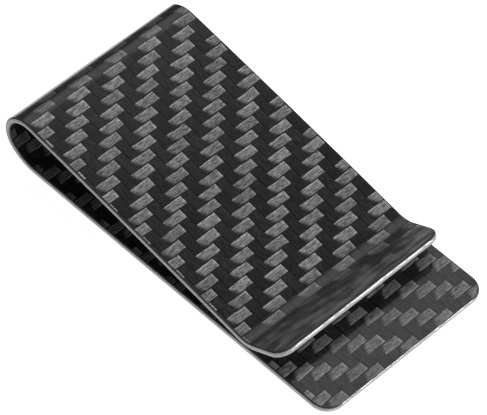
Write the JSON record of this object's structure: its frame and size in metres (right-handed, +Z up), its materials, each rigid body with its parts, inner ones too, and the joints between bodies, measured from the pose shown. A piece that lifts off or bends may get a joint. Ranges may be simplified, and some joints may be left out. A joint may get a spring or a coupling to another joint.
{
  "type": "money clip",
  "caption": "Carbon-fibre money clip: a flat back plate folds through a teardrop loop into a sprung leaf with a turned-up lip that grips folded notes.",
  "frame": {"origin": "middle of the clip's footprint, on the surface that the back plate lies on", "axes": "+X towards the free end of the back plate, +Y across the width, +Z up through the leaf"},
  "size_m": [0.066, 0.033, 0.0096],
  "materials": {
    "twill_laminate": "two-by-two twill carbon fibre under gloss clear coat",
    "core_laminate": "carbon fibre and epoxy, seen only at the polished edges"
  },
  "bodies": {
    "back_plate": {"back_plate_outer_twill_ply": "twill_laminate", "back_plate_outer_core_ply": "core_laminate", "back_plate_inner_core_ply": "core_laminate", "back_plate_inner_twill_ply": "twill_laminate"},
    "loop_heel": {"loop_heel_outer_twill_ply": "twill_laminate", "loop_heel_outer_core_ply": "core_laminate", "loop_heel_inner_core_ply": "core_laminate", "loop_heel_inner_twill_ply": "twill_laminate"},
    "loop_bend": {"loop_bend_outer_twill_ply": "twill_laminate", "loop_bend_outer_core_ply": "core_laminate", "loop_bend_inner_core_ply": "core_laminate", "loop_bend_inner_twill_ply": "twill_laminate"},
    "leaf_shoulder": {"leaf_shoulder_outer_twill_ply": "twill_laminate", "leaf_shoulder_outer_core_ply": "core_laminate", "leaf_shoulder_inner_core_ply": "core_laminate", "leaf_shoulder_inner_twill_ply": "twill_laminate"},
    "gripping_leaf": {"gripping_leaf_outer_twill_ply": "twill_laminate", "gripping_leaf_outer_core_ply": "core_laminate", "gripping_leaf_inner_core_ply": "core_laminate", "gripping_leaf_inner_twill_ply": "twill_laminate"}
  },
  "joints": [
    {"name": "heel_flex", "type": "hinge", "parent": "back_plate", "child": "loop_heel", "pos_m": [-0.02665, 0, 0.0005], "axis": [0, -1, 0], "range_deg": [0, 0.4521]},
    {"name": "loop_flex", "type": "hinge", "parent": "loop_heel", "child": "loop_bend", "pos_m": [-0.03096, 0, 0.00198], "axis": [0, -1, 0], "range_deg": [0, 1.6]},
    {"name": "leaf_root_flex", "type": "hinge", "parent": "loop_bend", "child": "leaf_shoulder", "pos_m": [-0.02789, 0, 0.00909], "axis": [0, -1, 0], "range_deg": [0, 2.8], "stiffness_Nm_per_rad": 24.2, "springref_deg": -0.24},
    {"name": "leaf_mid_flex", "type": "hinge", "parent": "leaf_shoulder", "child": "gripping_leaf", "pos_m": [-0.00843, 0, 0.00591], "axis": [0, -1, 0], "range_deg": [0, 2.67]}
  ],
  "couplings": [
    {"joint": "heel_flex", "follows": "leaf_root_flex", "ratio": 0.1579},
    {"joint": "loop_flex", "follows": "leaf_root_flex", "ratio": 0.5678},
    {"joint": "leaf_mid_flex", "follows": "leaf_root_flex", "ratio": 0.9486}
  ]
}
